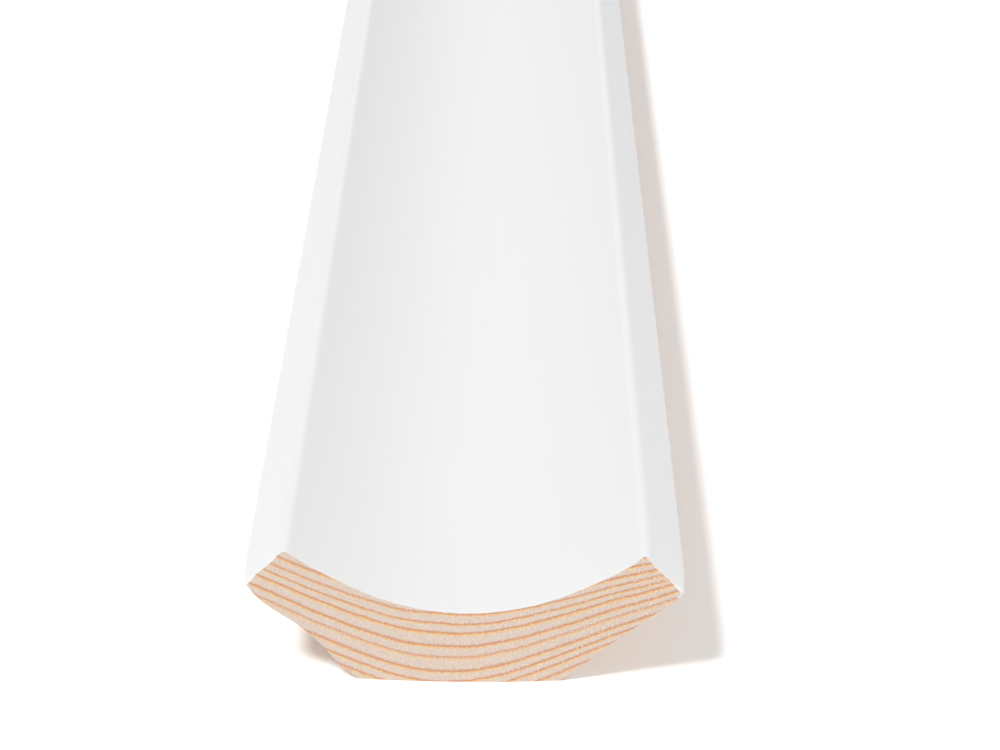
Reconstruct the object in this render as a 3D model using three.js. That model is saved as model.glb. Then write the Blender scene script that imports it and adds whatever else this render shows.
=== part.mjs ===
// A length of cove moulding: one strip of pine, milled to a hollow section and cut square at both ends.
// It lies on its flat back with the cove upwards. Millimetres, +Z up, length along Y.
// The origin is on the flat back, half way along and half way across.

import * as THREE from 'three';

const degrees = (angle) => THREE.MathUtils.degToRad(angle);

// Overall section, measured over the finished arrises
const WIDTH = 43;
const HEIGHT = 15;
const LENGTH = 200;

// Cove: a round bottom that runs out, past its angle on each side, into flatter flanks
const WOOD_UNDER_COVE = 8.2;
const COVE_RADIUS = 22.5;
const COVE_ANGLE = degrees(25);
const FLANK_RADIUS = 38.5;

// Back bevels, one for the wall and one for the ceiling, with the rims square to them
const BEVEL_ANGLE = degrees(45);

// Eased arrises
const INNER_ARRIS_RADIUS = 1.0;
const OUTER_ARRIS_RADIUS = 0.4;
const BACK_ARRIS_RADIUS = 0.3;

// Straight steps in each arc of the section
const STEPS_PER_ARC = 24;

const RIGHT_ANGLE = degrees(90);
const HALF_TURN = degrees(180);
const PAINTED_PINE = { color: 0xf1f1ef, roughness: 0.5, metalness: 0 };

// A point or direction in the section: x across, y up
const point = (x, y) => new THREE.Vector2(x, y);

// The direction at an angle from +X in the section
const heading = (angle) => point(Math.cos(angle), Math.sin(angle));

// Outward directions on the right-hand half of the section
const bevelFacing = BEVEL_ANGLE - RIGHT_ANGLE;
const rimFacing = bevelFacing + RIGHT_ANGLE;
const coveFacing = COVE_ANGLE + RIGHT_ANGLE;

// Cove and right-hand flank: the middles of their arcs, which share a tangent where they meet
const coveCentre = point(0, WOOD_UNDER_COVE + COVE_RADIUS);
const flankCentre = coveCentre.clone().addScaledVector(heading(coveFacing), FLANK_RADIUS - COVE_RADIUS);

// Inner arris: it touches the overall height, the flank and the rim
const innerHeight = HEIGHT - INNER_ARRIS_RADIUS;
const innerDrop = flankCentre.y - innerHeight;
const innerReach = Math.sqrt((FLANK_RADIUS + INNER_ARRIS_RADIUS) ** 2 - innerDrop ** 2);
const innerCentre = point(flankCentre.x + innerReach, innerHeight);
const flankFacing = Math.atan2(innerDrop, -innerReach);

// Outer arris: it touches the overall width and the same rim
const rim = heading(rimFacing);
const rimReach = innerCentre.dot(rim) + INNER_ARRIS_RADIUS - OUTER_ARRIS_RADIUS;
const outerX = WIDTH / 2 - OUTER_ARRIS_RADIUS;
const outerCentre = point(outerX, (rimReach - outerX * rim.x) / rim.y);

// Back arris: it touches the flat back and the bevel
const bevel = heading(bevelFacing);
const bevelReach = outerCentre.dot(bevel) + OUTER_ARRIS_RADIUS - BACK_ARRIS_RADIUS;
const backCentre = point((bevelReach - BACK_ARRIS_RADIUS * bevel.y) / bevel.x, BACK_ARRIS_RADIUS);

// The right-hand arcs in order from the flat back up to the cove: middle, radius, first and last angle
const rightArcs = [
  [backCentre, BACK_ARRIS_RADIUS, -RIGHT_ANGLE, bevelFacing],
  [outerCentre, OUTER_ARRIS_RADIUS, bevelFacing, rimFacing],
  [innerCentre, INNER_ARRIS_RADIUS, rimFacing, flankFacing],
  [flankCentre, FLANK_RADIUS, flankFacing - HALF_TURN, coveFacing - HALF_TURN],
];

// The same arcs mirrored to the left-hand half, and so run the other way
const mirrored = ([centre, radius, first, last]) => [
  point(-centre.x, centre.y),
  radius,
  HALF_TURN - last,
  HALF_TURN - first,
];
const coveArc = [coveCentre, COVE_RADIUS, coveFacing - HALF_TURN, -coveFacing];
const leftArcs = rightArcs.map(mirrored).reverse();

// The outline runs anticlockwise, and straight lines join the end of each arc to the start of the next
function mouldingSection() {
  const outline = new THREE.Shape();
  for (const [centre, radius, first, last] of [...rightArcs, coveArc, ...leftArcs]) {
    const clockwise = last < first;
    outline.absarc(centre.x, centre.y, radius, first, last, clockwise);
  }
  outline.closePath();
  return outline;
}

// The strip is drawn out along the length, then laid on its back and centred
function coveMoulding() {
  const geometry = new THREE.ExtrudeGeometry(mouldingSection(), {
    depth: LENGTH,
    bevelEnabled: false,
    curveSegments: STEPS_PER_ARC / 2,
  });
  geometry.rotateX(RIGHT_ANGLE);
  geometry.translate(0, LENGTH / 2, 0);
  const mesh = new THREE.Mesh(geometry, new THREE.MeshStandardMaterial(PAINTED_PINE));
  mesh.name = 'cove_moulding';
  return mesh;
}

const moulding = new THREE.Group();
moulding.add(coveMoulding());

export default moulding;
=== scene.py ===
import math

import bmesh
import bpy
from mathutils import Matrix, Vector, noise


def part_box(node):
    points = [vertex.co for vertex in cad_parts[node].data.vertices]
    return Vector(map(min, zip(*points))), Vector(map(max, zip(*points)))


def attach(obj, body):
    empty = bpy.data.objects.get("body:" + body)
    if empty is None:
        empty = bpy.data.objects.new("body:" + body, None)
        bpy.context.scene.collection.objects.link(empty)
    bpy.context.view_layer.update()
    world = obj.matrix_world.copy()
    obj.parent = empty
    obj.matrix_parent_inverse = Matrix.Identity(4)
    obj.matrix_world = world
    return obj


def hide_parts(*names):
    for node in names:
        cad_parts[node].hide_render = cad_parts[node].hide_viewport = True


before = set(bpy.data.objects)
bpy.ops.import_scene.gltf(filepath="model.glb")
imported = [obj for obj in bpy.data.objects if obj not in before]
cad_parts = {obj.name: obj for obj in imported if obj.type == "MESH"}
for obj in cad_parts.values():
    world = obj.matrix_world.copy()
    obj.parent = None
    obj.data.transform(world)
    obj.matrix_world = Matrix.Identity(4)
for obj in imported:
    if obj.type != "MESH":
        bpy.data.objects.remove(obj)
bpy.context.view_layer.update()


# The moulding is one strip of slow-grown pine, run through a moulder to a shallow cove between two square
# rims, with the back cut away at 45 degrees on both sides. It is sprayed with white primer on the face
# and cut square with a fine saw, so both ends, the back bevels and the flat back are bare wood.

mm = 0.001
low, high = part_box("cove_moulding")
half_width = high.x
height = high.z
near_end = low.y
far_end = high.y
length = far_end - near_end

wood_under_cove = 8.2 * mm
cove_radius = 22.5 * mm
cove_angle = math.radians(25)
flank_radius = 38.5 * mm
inner_arris_radius = 1.0 * mm
outer_arris_radius = 0.4 * mm
back_arris_radius = 0.3 * mm
rim_facing = math.radians(45)
bevel_facing = math.radians(-45)
back_facing = math.radians(-90)
right_angle = math.radians(90)

# Straight steps in each arc of the section, the cove's counted over a whole turn.
cove_turn_steps = 360
flank_steps = 14
inner_arris_steps = 12
outer_arris_steps = 8
back_arris_steps = 4


def section_point(across, up):
    """A point of the near end's section."""
    return Vector((across, near_end, up))


def heading(angle):
    """The direction at an angle in the section, from +X towards +Z."""
    return Vector((math.cos(angle), 0, math.sin(angle)))


# Middles of the arcs on the right half, each touching its neighbours.
cove_centre = section_point(0, wood_under_cove + cove_radius)
flank_start_angle = cove_angle - right_angle
flank_start = cove_centre + heading(flank_start_angle) * cove_radius
flank_centre = flank_start - heading(flank_start_angle) * flank_radius
inner_drop = flank_centre.z - (height - inner_arris_radius)
flank_end_angle = -math.asin(inner_drop / (flank_radius + inner_arris_radius))
inner_centre = flank_centre + heading(flank_end_angle) * (flank_radius + inner_arris_radius)
rim_reach = inner_centre.dot(heading(rim_facing)) + inner_arris_radius - outer_arris_radius
outer_across = half_width - outer_arris_radius
outer_up = (rim_reach - outer_across * math.cos(rim_facing)) / math.sin(rim_facing)
outer_centre = section_point(outer_across, outer_up)
bevel_reach = outer_centre.dot(heading(bevel_facing)) + outer_arris_radius - back_arris_radius
back_across = (bevel_reach - back_arris_radius * math.sin(bevel_facing)) / math.cos(bevel_facing)
back_centre = section_point(back_across, back_arris_radius)

# Ends of the straight faces, and the edge of the primer a little way down each bevel.
rim_start = inner_centre + heading(rim_facing) * inner_arris_radius
rim_end = outer_centre + heading(rim_facing) * outer_arris_radius
bevel_start = outer_centre + heading(bevel_facing) * outer_arris_radius
bevel_end = back_centre + heading(bevel_facing) * back_arris_radius
bevel_length = (bevel_end - bevel_start).length
bevel_run = (bevel_end - bevel_start).normalized()
primer_edge = 0.6 * mm
primer_feather = 0.25 * mm
primer_stops = [primer_edge - primer_feather, primer_edge, primer_edge + primer_feather]
bevel_points = [bevel_start + bevel_run * stop for stop in primer_stops]
bare_start = bevel_points[-1]
bevel_steps = 8
for step in range(1, bevel_steps + 1):
    bevel_points.append(bare_start.lerp(bevel_end, step / bevel_steps))

# The right half of the section, drawn from the middle of the cove: arcs are spun, straight faces extruded.
bpy.ops.object.select_all(action="DESELECT")
bpy.ops.mesh.primitive_circle_add(
    vertices=cove_turn_steps,
    radius=cove_radius,
    fill_type="NOTHING",
    location=cove_centre,
    rotation=(right_angle, 0, 0),
)
moulding = bpy.context.object
moulding.name = "cove_moulding_strip"
moulding.data.name = "cove_moulding_strip"
bpy.ops.object.transform_apply(location=True, rotation=True, scale=True)
hair = 0.001 * mm


def pick_vertices(wanted):
    """Select the vertices whose place answers to wanted, and nothing else."""
    bpy.ops.mesh.select_mode(type="VERT")
    bpy.ops.mesh.select_all(action="DESELECT")
    shape = bmesh.from_edit_mesh(moulding.data)
    for vertex in shape.verts:
        vertex.select_set(wanted(vertex.co))
    shape.select_flush_mode()
    bmesh.update_edit_mesh(moulding.data)


def draw_line(start, *points):
    """Draw the outline on from start through each point."""
    for point in points:
        bpy.ops.mesh.extrude_region_move(TRANSFORM_OT_translate={"value": point - start})
        start = point


def draw_arc(centre, turn, steps):
    """Draw the outline on round a centre, anticlockwise for a positive turn."""
    bpy.ops.mesh.spin(steps=steps, angle=turn, center=centre, axis=(0, 1, 0))


bpy.ops.object.mode_set(mode="EDIT")
pick_vertices(lambda place: place.x < -hair or place.z > flank_start.z + hair)
bpy.ops.mesh.delete(type="VERT")
pick_vertices(lambda place: (place - flank_start).length < hair)
draw_arc(flank_centre, flank_end_angle - flank_start_angle, flank_steps)
draw_arc(inner_centre, rim_facing - flank_end_angle - 2 * right_angle, inner_arris_steps)
draw_line(rim_start, rim_end)
draw_arc(outer_centre, bevel_facing - rim_facing, outer_arris_steps)
draw_line(bevel_start, *bevel_points)
draw_arc(back_centre, back_facing - bevel_facing, back_arris_steps)
draw_line(section_point(back_across, 0), section_point(0, 0))
bpy.ops.object.mode_set(mode="OBJECT")

bpy.ops.object.modifier_add(type="MIRROR")
moulding.modifiers["Mirror"].merge_threshold = hair
bpy.ops.object.modifier_apply(modifier="Mirror")

# The section is filled and cut into a grid, so that a sawn end can be shaped. It is then drawn out along
# its length in rows, which lie close together near the sawn ends.
bpy.ops.object.mode_set(mode="EDIT")
bpy.ops.mesh.select_all(action="SELECT")
bpy.ops.mesh.remove_doubles(threshold=hair)
bpy.ops.mesh.edge_face_add()
grid_step = 1.7 * mm
grid_columns = int(half_width / grid_step)
grid_rows = int(height / grid_step)
for column in range(-grid_columns, grid_columns + 1):
    bpy.ops.mesh.select_all(action="SELECT")
    bpy.ops.mesh.bisect(plane_co=section_point(column * grid_step, 0), plane_no=(1, 0, 0))
for row in range(1, grid_rows + 1):
    bpy.ops.mesh.select_all(action="SELECT")
    bpy.ops.mesh.bisect(plane_co=section_point(0, row * grid_step), plane_no=(0, 0, 1))
bpy.ops.mesh.select_all(action="SELECT")
end_rows = [row * mm for row in (0.04, 0.1, 0.18, 0.28, 0.4, 0.7, 1.2, 2.0, 3.0, 4.5, 10.0)]
rows = end_rows + [length - row for row in reversed(end_rows)] + [length]
drawn_out = 0.0
for row in rows:
    bpy.ops.mesh.extrude_region_move(TRANSFORM_OT_translate={"value": (0, row - drawn_out, 0)})
    drawn_out = row
bpy.ops.mesh.select_all(action="SELECT")
bpy.ops.mesh.normals_make_consistent(inside=False)
bpy.ops.object.mode_set(mode="OBJECT")

# The primer covers the face and wraps a little way over the outer arrises. How well it covers is kept on
# the corners of the faces, so that a sawn end can be bare right up to its painted edge. The sawn ends are
# marked in the same way, because end grain is a little greyer than the planed sides.
primer_cover = moulding.data.attributes.new("primer", "FLOAT", "CORNER")
end_grain = moulding.data.attributes.new("end_grain", "FLOAT", "CORNER")
sawn_facing = 0.99


def on_back(place):
    """True on the bevels, the back arrises and the flat back."""
    from_bevel = section_point(abs(place.x), place.z) - bevel_start
    return from_bevel.dot(heading(bevel_facing)) > -hair or place.z < bevel_end.z + hair


def cover_at(place):
    """How far the primer covers a point of the long faces, 1 for fully and 0 for bare wood."""
    if not on_back(place):
        return 1.0
    down_bevel = (section_point(abs(place.x), place.z) - bevel_start).dot(bevel_run)
    return min(max(0.5 + (primer_edge - down_bevel) / (2 * primer_feather), 0.0), 1.0)


for face in moulding.data.polygons:
    sawn = abs(face.normal.y) > sawn_facing
    for corner in face.loop_indices:
        place = moulding.data.vertices[moulding.data.loops[corner].vertex_index].co
        primer_cover.data[corner].value = 0.0 if sawn else cover_at(place)
        end_grain.data[corner].value = 1.0 if sawn else 0.0

# Wear and tool marks: the painted sawn edges are eased, most of all at the outer arrises, and the rims fall
# away a little towards the ends, where they were rubbed down before priming. The left bevel is planed
# hollow and left full near its arris, and the right one is cut back a little. The near end is sawn slightly
# out of true, so that it leans out at the bottom, and a few fibres stand up at its right inner arris.
rim_ease = 0.04 * mm
cove_ease = 0.02 * mm
outer_ease = 0.40 * mm
ease_reach = 1.6 * mm
ragged = 0.04 * mm
ragged_patch = 0.9 * mm
rim_taper = 0.32 * mm
taper_run = 4.5 * mm
taper_share = 0.16
left_hollow = 0.75 * mm
left_fullness = 0.20 * mm
fullness_share = 0.4
right_cut_back = 0.65 * mm
cut_back_share = 0.6
cut_depth = 4.0 * mm
planed_share = 1.1
middle_lean = 0.58 * mm
side_lean = 0.16 * mm
lean_rounding = 0.6
lean_run = 4.5 * mm
torn_height = 0.35 * mm
torn_offset = 0.25 * mm
torn_half_width = 0.9 * mm
torn_run = 0.15 * mm
smooth_angle = math.radians(30)


def ease_radius(place):
    """How far a sawn edge is rounded over at this point of the outline."""
    right_place = section_point(abs(place.x), place.z)
    tip_ease = outer_ease * max(1 - (right_place - outer_centre).length / ease_reach, 0)
    if on_back(place):
        return tip_ease
    return max(tip_ease, rim_ease if right_place.x > inner_centre.x else cove_ease)


moves = []
for vertex in moulding.data.vertices:
    place = vertex.co.copy()
    right_place = section_point(abs(place.x), place.z)
    inward = Vector((-vertex.normal.x, 0, -vertex.normal.z)).normalized()
    from_near_end = place.y - near_end
    from_end = max(min(from_near_end, far_end - place.y), 0.0)
    move = Vector((0, 0, 0))
    radius = ease_radius(place)
    if from_end < radius:
        move += inward * (radius - math.sqrt(radius ** 2 - (radius - from_end) ** 2))
    if from_end < hair:
        move += inward * ragged * noise.noise(place / ragged_patch)
    down_bevel = (right_place - bevel_start).dot(bevel_run) / bevel_length
    past_apex = min((right_place.x - inner_centre.x) / inner_arris_radius, 1)
    if from_end < taper_run and past_apex > 0:
        share = max(1 - down_bevel / taper_share, 0) if on_back(place) else past_apex
        rubbed = rim_taper * share * (1 - from_end / taper_run) ** 2
        move += Vector((math.copysign(bevel_run.x, -place.x), 0, bevel_run.z)) * rubbed
    inside = (bevel_start - right_place).dot(heading(bevel_facing))
    if inside < cut_depth and 0 < down_bevel < planed_share:
        planing = 0.0
        if place.x < 0:
            planing += left_hollow * math.sin(math.pi * min(down_bevel, 1)) ** 4
            fullness = left_fullness * math.sin(math.pi * min(down_bevel / fullness_share, 1)) ** 2
            planing -= fullness * max(1 - from_near_end / taper_run, 0)
        else:
            planing -= right_cut_back * math.sin(right_angle * min(down_bevel / cut_back_share, 1)) ** 2
        move.x += planing * (1 - max(inside, 0) / cut_depth)
    if from_near_end < lean_run and place.z < outer_centre.z:
        sideways = max(min(place.x / back_across, 1), -1)
        lean = middle_lean * (1 - lean_rounding * sideways ** 2) - side_lean * sideways
        move.y -= lean * (1 - place.z / outer_centre.z) * (1 - from_near_end / lean_run)
    from_tear = abs(place.x - inner_centre.x + torn_offset)
    if from_near_end < torn_run and from_tear < torn_half_width and place.z > inner_centre.z:
        move.z += torn_height * (1 - from_tear / torn_half_width) * (1 - from_near_end / torn_run)
    moves.append(move)
for vertex, move in zip(moulding.data.vertices, moves):
    vertex.co += move
bpy.ops.object.shade_smooth_by_angle(angle=smooth_angle)

# The finish is bare pine and white primer in one material, parted by how far the primer covers.
primed_pine = bpy.data.materials.new("primed_pine")
primed_pine.use_nodes = True
nodes = primed_pine.node_tree.nodes
links = primed_pine.node_tree.links
surface = nodes["Principled BSDF"]
moulding.data.materials.append(primed_pine)
per_mm = 1 / mm


def feed(socket, value):
    """Link a socket to another node's output, or set its plain value."""
    if isinstance(value, bpy.types.NodeSocket):
        links.new(value, socket)
    else:
        socket.default_value = value


def calc(operation, *values):
    """A sum of the given kind on one to three values."""
    node = nodes.new("ShaderNodeMath")
    node.operation = operation
    for socket, value in zip(node.inputs, values):
        feed(socket, value)
    return node.outputs[0]


def cloud(across, along, up, detail=2.0):
    """Soft noise with so many patches per millimetre across, along and up the strip."""
    stretch = nodes.new("ShaderNodeMapping")
    feed(stretch.inputs["Vector"], strip_place)
    stretch.inputs["Scale"].default_value = (across * per_mm, along * per_mm, up * per_mm)
    node = nodes.new("ShaderNodeTexNoise")
    feed(node.inputs["Vector"], stretch.outputs["Vector"])
    node.inputs["Scale"].default_value = 1.0
    node.inputs["Detail"].default_value = detail
    return node.outputs["Fac"]


def swing(value, amount):
    """Noise from 0 to 1 turned into a swing of plus or minus about half the amount."""
    return calc("MULTIPLY", calc("SUBTRACT", value, 0.5), amount)


def ease_between(value, low_edge, high_edge):
    """0 below the low edge, 1 above the high edge and smooth between."""
    node = nodes.new("ShaderNodeMapRange")
    node.interpolation_type = "SMOOTHSTEP"
    feed(node.inputs["Value"], value)
    node.inputs["From Min"].default_value = low_edge
    node.inputs["From Max"].default_value = high_edge
    return node.outputs["Result"]


def mix_colours(share, first, second):
    """The first colour where share is 0 and the second where it is 1."""
    node = nodes.new("ShaderNodeMix")
    node.data_type = "RGBA"
    feed(node.inputs["Factor"], share)
    feed(node.inputs[6], first)
    feed(node.inputs[7], second)
    return node.outputs[2]


def mix_values(share, first, second):
    """The first value where share is 0 and the second where it is 1."""
    node = nodes.new("ShaderNodeMix")
    feed(node.inputs["Factor"], share)
    feed(node.inputs[2], first)
    feed(node.inputs[3], second)
    return node.outputs[0]


def paint(red, green, blue):
    """A colour given in display steps from 0 to 255, as the shader's linear colour."""
    linear = []
    for step in (red, green, blue):
        share = step / 255
        linear.append(share / 12.92 if share < 0.04045 else ((share + 0.055) / 1.055) ** 2.4)
    return (*linear, 1.0)


def mesh_mark(name):
    """A value kept on the corners of the mesh."""
    node = nodes.new("ShaderNodeAttribute")
    node.attribute_name = name
    return node.outputs["Fac"]


strip_place = nodes.new("ShaderNodeTexCoord").outputs["Object"]
in_mm = nodes.new("ShaderNodeMapping")
feed(in_mm.inputs["Vector"], strip_place)
in_mm.inputs["Scale"].default_value = (per_mm, per_mm, per_mm)
apart = nodes.new("ShaderNodeSeparateXYZ")
feed(apart.inputs["Vector"], in_mm.outputs["Vector"])
across, along, up = apart.outputs

# Growth rings: shallow bowls round a heart far above the strip, a little left of its middle. They run up
# to both sides, crowd together there, flatten out towards the right tip, wander slightly, and sink slowly
# along the length.
ring_middle = -2.2
ring_rounding = 8.0
ring_rise = 0.603
ring_lean = -0.021
ring_spacing = 1.01
ring_crowding = 0.0128
ring_crowding_lean = -0.0049
ring_sink = 0.006
ring_lean_out = 0.6
right_bend_start = 14.5
right_bend = 0.13
bend_rounding = 2.0
broad_wander = 0.30
fine_wander = 0.40
from_middle = calc("SUBTRACT", across, ring_middle)
spread = calc("SQRT", calc("MULTIPLY_ADD", from_middle, from_middle, ring_rounding ** 2))
bowl = calc("MULTIPLY", calc("SUBTRACT", spread, ring_rounding), ring_rise)
bowl = calc("MULTIPLY_ADD", from_middle, ring_lean, bowl)
crowd = calc("MULTIPLY_ADD", calc("ABSOLUTE", from_middle), -ring_crowding, ring_spacing)
crowd = calc("MULTIPLY_ADD", from_middle, ring_crowding_lean, crowd)
ring_height = calc("DIVIDE", calc("SUBTRACT", up, bowl), crowd)
from_cut = calc("SUBTRACT", along, near_end / mm)
sunk = calc("MULTIPLY", from_cut, ring_sink)
sunk = calc("MULTIPLY_ADD", calc("MINIMUM", from_cut, 0.0), ring_lean_out, sunk)
past_bend = calc("SMOOTH_MAX", calc("SUBTRACT", across, right_bend_start), 0.0, bend_rounding)
sunk = calc("MULTIPLY_ADD", past_bend, right_bend, sunk)
wander = swing(cloud(0.3, 0.012, 0.3), broad_wander)
wander = calc("ADD", wander, swing(cloud(5.0, 0.06, 1.5), fine_wander))
ring_height = calc("ADD", calc("ADD", ring_height, sunk), wander)

# The dark lines of late wood, as heights at the rings' middle, from above the strip to below it.
late_wood = [13.3, 12.0, 10.7, 9.3, 8.0, 6.8, 5.7, 4.0, 2.7, 0.9, -0.4, -1.6, -3.1, -4.6, -6.1]
top_line, bottom_line = late_wood[0], late_wood[-1]
line_span = top_line - bottom_line
count = len(late_wood) - 1
ring_curve = nodes.new("ShaderNodeFloatCurve")
feed(ring_curve.inputs["Value"], calc("DIVIDE", calc("SUBTRACT", top_line, ring_height), line_span))
curve_points = ring_curve.mapping.curves[0].points
for number, line in list(enumerate(late_wood))[1:-1]:
    curve_points.new((top_line - line) / line_span, number / count)
for curve_point in curve_points:
    curve_point.handle_type = "VECTOR"
ring_curve.mapping.update()
ring_number = calc("MULTIPLY", ring_curve.outputs["Value"], count)

# The lines keep their width where the rings crowd, so there they take up more of the space between.
nearest_line = calc("FLOOR", calc("ADD", ring_number, 0.5))
from_line = calc("MULTIPLY", calc("SUBTRACT", ring_number, nearest_line), crowd)
ring_phase = calc("FRACT", from_line)

# Colour from one late line to the next: dark core, amber fringe, pale early wood, then a brown edge.
ring_colour = nodes.new("ShaderNodeValToRGB")
feed(ring_colour.inputs["Fac"], ring_phase)
late_core = paint(199, 105, 34)
amber_fringe = paint(226, 184, 118)
early_wood = paint(206, 191, 181)
brown_edge = paint(190, 134, 103)
ring_stops = [
    (0.00, late_core),
    (0.14, amber_fringe),
    (0.30, early_wood),
    (0.80, early_wood),
    (0.93, brown_edge),
    (1.00, late_core),
]
ramp = ring_colour.color_ramp
while len(ramp.elements) < len(ring_stops):
    ramp.elements.new(0.5)
for element, (position, colour) in zip(ramp.elements, ring_stops):
    element.position = position
    element.color = colour

# Lines differ in strength, and the fifth under the cove is faint.
least_strength = 0.88
strength_spread = 0.15
faint_number = 8.0
faint_loss = 0.25
line_luck = nodes.new("ShaderNodeTexWhiteNoise")
line_luck.noise_dimensions = "1D"
feed(line_luck.inputs["W"], nearest_line)
faint_line = calc("COMPARE", nearest_line, faint_number, 0.1)
line_strength = calc("MULTIPLY_ADD", line_luck.outputs["Value"], strength_spread, least_strength)
line_strength = calc("MULTIPLY_ADD", faint_line, -faint_loss, line_strength)
pine = mix_colours(line_strength, early_wood, ring_colour.outputs["Color"])

# Pale specks, which are more common towards the right, and patches of pinker and yellower wood.
fewest_at, most_at = -12.0, 14.0
speck_edge_left = 0.66
speck_edge_drop = 0.05
speck_softness = 0.06
speck_share = 0.85
patch_start, patch_stop = 0.35, 0.65
patch_share = 0.30
specks = cloud(4.5, 0.10, 4.5, 1.0)
speck_side = ease_between(across, fewest_at, most_at)
speck_edge = calc("MULTIPLY_ADD", speck_side, -speck_edge_drop, speck_edge_left)
speck = ease_between(calc("SUBTRACT", specks, speck_edge), 0.0, speck_softness)
pine = mix_colours(calc("MULTIPLY", speck, speck_share), pine, paint(236, 220, 206))
warmth = ease_between(cloud(2.5, 0.02, 2.5), patch_start, patch_stop)
pink_pine = mix_colours(patch_share, pine, paint(202, 172, 164))
amber_pine = mix_colours(patch_share, pine, paint(210, 192, 152))
pine = mix_colours(warmth, pink_pine, amber_pine)

# Fibres, cells and streaks, which show as dots and hatching on the sawn ends.
mean_tone = 0.91
fibre_tone = 0.30
cell_tone = 0.30
streak_tone = 0.06
fibres = cloud(5.0, 0.03, 1.6, 3.0)
cells = cloud(5.5, 0.12, 5.5, 1.0)
streaks = cloud(1.2, 0.01, 1.2)
tone = calc("ADD", calc("ADD", mean_tone, swing(fibres, fibre_tone)), swing(streaks, streak_tone))
tone = calc("ADD", tone, swing(cells, cell_tone))
pine_tone = nodes.new("ShaderNodeHueSaturation")
feed(pine_tone.inputs["Value"], tone)
feed(pine_tone.inputs["Color"], pine)
pine = pine_tone.outputs["Color"]

# The planed sides show the same rings as long streaks, in a slightly warmer tone than the end grain.
honey_share = 0.04
planed_pine = mix_colours(honey_share, pine, paint(238, 190, 128))
pine = mix_colours(mesh_mark("end_grain"), planed_pine, pine)

# Primer: a smooth satin white, with the faintest trace of the grain and of the spray, and a ragged edge.
edge_wander = 0.8
edge_start, edge_stop = 0.42, 0.58
spray = cloud(2.0, 2.0, 2.0)
grain_trace = cloud(1.5, 0.01, 1.5)
primer_white = mix_colours(grain_trace, paint(210, 210, 210), paint(212, 212, 212))
ragged_cover = calc("ADD", mesh_mark("primer"), swing(cloud(1.8, 0.5, 1.8, 3.0), edge_wander))
primed = ease_between(ragged_cover, edge_start, edge_stop)
feed(surface.inputs["Base Color"], mix_colours(primed, pine, primer_white))

# Roughness, as the least of each finish and how far it varies.
pine_least, pine_spread = 0.62, 0.15
primer_least, primer_spread = 0.60, 0.06
pine_roughness = calc("MULTIPLY_ADD", streaks, pine_spread, pine_least)
primer_roughness = calc("MULTIPLY_ADD", spray, primer_spread, primer_least)
feed(surface.inputs["Roughness"], mix_values(primed, pine_roughness, primer_roughness))

# Relief: planer ripple and open grain on the bare wood, a fine spray texture on the primer.
relief_depth = 0.03 * mm
ripple_pitch = 1.7
fibre_share = 0.6
ripple_share = 0.08
spray_share = 0.12
trace_share = 0.10
ripple = calc("SINE", calc("MULTIPLY", along, 2 * math.pi / ripple_pitch))
pine_relief = calc("ADD", calc("MULTIPLY", fibres, fibre_share), calc("MULTIPLY", ripple, ripple_share))
primer_relief = calc("ADD", calc("MULTIPLY", spray, spray_share), calc("MULTIPLY", grain_trace, trace_share))
relief = nodes.new("ShaderNodeBump")
relief.inputs["Strength"].default_value = 1.0
relief.inputs["Distance"].default_value = relief_depth
feed(relief.inputs["Height"], mix_values(primed, pine_relief, primer_relief))
feed(surface.inputs["Normal"], relief.outputs["Normal"])

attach(moulding, "root")
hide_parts("cove_moulding")


# The floor is a wide matt white sheet, and a small light from the front left lays the shadow to the right.
# Four broad lower lights and a faint white surround fill in the rest.

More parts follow.
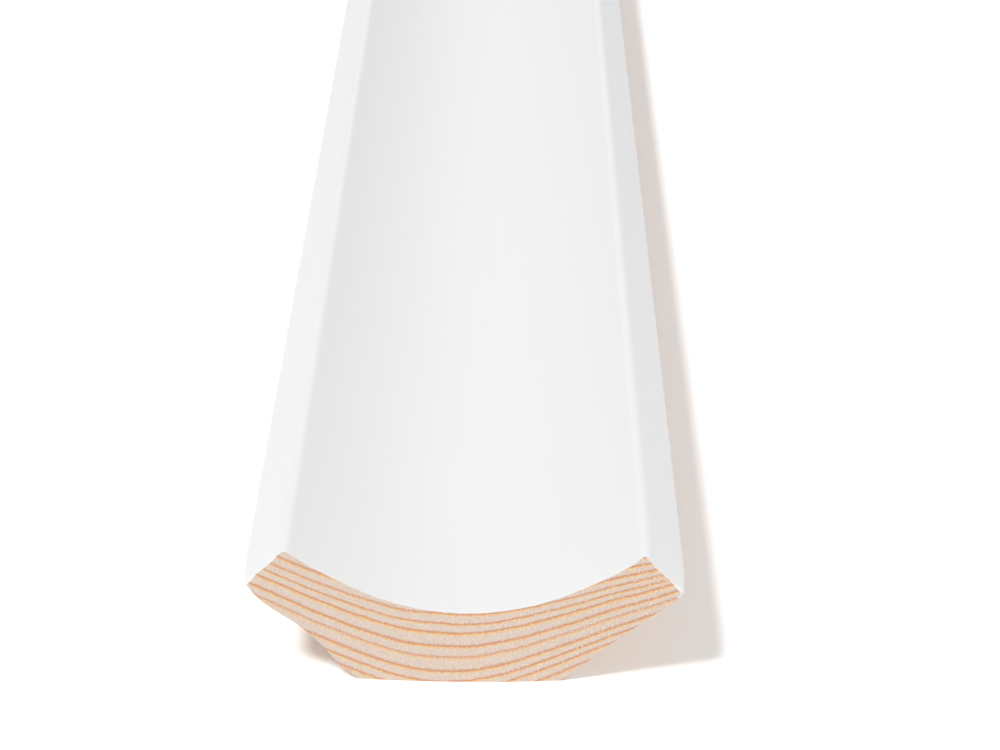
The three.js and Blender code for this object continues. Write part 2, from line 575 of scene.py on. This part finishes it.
floor_size = 6.0
floor_white = 0.98
surround_strength = 0.409
bpy.ops.object.select_all(action="DESELECT")
bpy.ops.mesh.primitive_plane_add(size=floor_size)
floor = bpy.context.object
floor.name = "studio_floor"
floor_finish = bpy.data.materials.new("studio_floor_white")
floor_finish.use_nodes = True
floor_shader = floor_finish.node_tree.nodes["Principled BSDF"]
floor_shader.inputs["Base Color"].default_value = (floor_white, floor_white, floor_white, 1)
floor_shader.inputs["Roughness"].default_value = 1.0
floor_shader.inputs["Specular IOR Level"].default_value = 0.0
floor.data.materials.append(floor_finish)

studio = bpy.data.worlds.new("studio_white")
bpy.context.scene.world = studio
studio.use_nodes = True
surround = studio.node_tree.nodes["Background"]
surround.inputs["Color"].default_value = (1, 1, 1, 1)
surround.inputs["Strength"].default_value = surround_strength

light_aim = section_point(0, 10 * mm)
fill_distance = 1.5
fill_size = 0.9


def hang_light(name, bearing, rise, watts, distance=fill_distance, size=fill_size):
    """A round light turned to the near end, at a bearing from +X and a rise from the floor in degrees."""
    turn = math.radians(bearing)
    lift = math.radians(rise)
    way = Vector((math.cos(turn) * math.cos(lift), math.sin(turn) * math.cos(lift), math.sin(lift)))
    bpy.ops.object.light_add(type="AREA", location=light_aim + way * distance)
    light = bpy.context.object
    light.name = name
    light.data.shape = "DISK"
    light.data.size = size
    light.data.energy = watts
    light.rotation_euler = way.to_track_quat("Z", "Y").to_euler()


hang_light("key_light", 216, 60.2, 29.8, distance=2.0, size=0.36)
hang_light("front_fill", -38, 35, 9.0)
hang_light("right_fill", 0, 20, 2.4)
hang_light("left_fill", 180, 20, 3.8)
hang_light("back_fill", 90, 15, 3.1)

# The camera stands in front of the near end and looks down along the strip.
picture_width = 1000
sensor_width = 36.0
focal_pixels = 2153.2
camera_from_end = Vector((1.823, -167.88, 136.237)) * mm
camera_pitch = math.radians(31.025)
camera_yaw = math.radians(-0.387)
camera_roll = math.radians(1.394)
bpy.ops.object.camera_add(location=section_point(0, 0) + camera_from_end)
camera = bpy.context.object
camera.data.sensor_width = sensor_width
camera.data.lens = focal_pixels / picture_width * sensor_width
camera.rotation_euler = (
    Matrix.Rotation(camera_yaw, 3, "Z")
    @ Matrix.Rotation(right_angle - camera_pitch, 3, "X")
    @ Matrix.Rotation(camera_roll, 3, "Z")
).to_euler()
bpy.context.scene.camera = camera
bpy.context.scene.view_settings.view_transform = "Standard"
